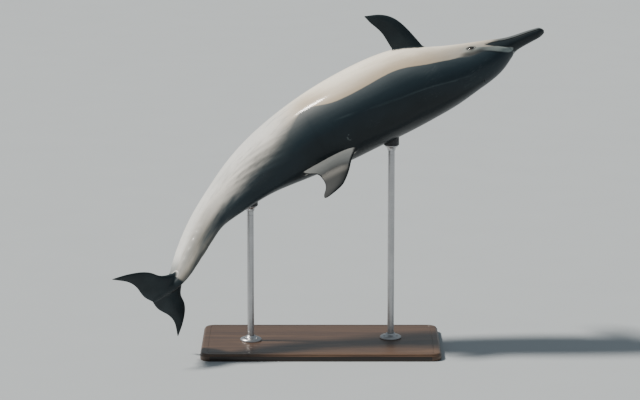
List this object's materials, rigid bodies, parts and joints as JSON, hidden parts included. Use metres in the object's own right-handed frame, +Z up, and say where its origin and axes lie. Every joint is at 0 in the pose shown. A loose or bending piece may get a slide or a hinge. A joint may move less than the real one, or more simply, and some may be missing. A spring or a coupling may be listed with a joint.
{
  "type": "common dolphin on a display stand",
  "caption": "Still, life-size common dolphin in a leap, belly up, with beak, fins and flukes, held over a flat base by short rods.",
  "frame": {"origin": "on the floor under the middle of the whole part's box: the centre of the box's bottom face", "axes": "+X the way the animal heads, and the longest extent; +Z up; -Y the side that its left flank faces"},
  "size_m": [1.7716, 0.7746, 1.4027],
  "materials": {
    "cape_skin": "dark slate back and head skin, smooth, wet and glossy",
    "flank_skin": "pale grey flank, belly and tail stock skin, smooth, wet and glossy",
    "beak_skin": "near-black blue-grey skin of the beak and lips, wet",
    "fin_skin": "near-black blue-grey skin of flippers and flukes, wet",
    "dorsal_fin_skin": "grey dorsal fin skin with dark edges and tip, wet",
    "eye": "dark, wet, glossy eye",
    "stand_wood": "dark oiled hardwood, satin",
    "stand_steel": "brushed stainless steel rod",
    "stand_felt": "dark pressed felt pad"
  },
  "bodies": {
    "root": {"head": "cape_skin", "beak_upper": "beak_skin", "beak_lower": "beak_skin", "eye_left": "eye", "eye_right": "eye", "chest": "cape_skin", "abdomen": "flank_skin", "loin": "flank_skin", "tail_stock": "flank_skin", "dorsal_fin": "dorsal_fin_skin", "flipper_left": "fin_skin", "flipper_right": "fin_skin", "fluke_left": "fin_skin", "fluke_right": "fin_skin", "stand_base": "stand_wood", "stand_foot_front": "stand_steel", "stand_foot_rear": "stand_steel", "stand_rod_front": "stand_steel", "stand_rod_rear": "stand_steel", "stand_cup_front": "stand_steel", "stand_cup_rear": "stand_steel", "stand_pad_front": "stand_felt", "stand_pad_rear": "stand_felt"}
  },
  "joints": []
}
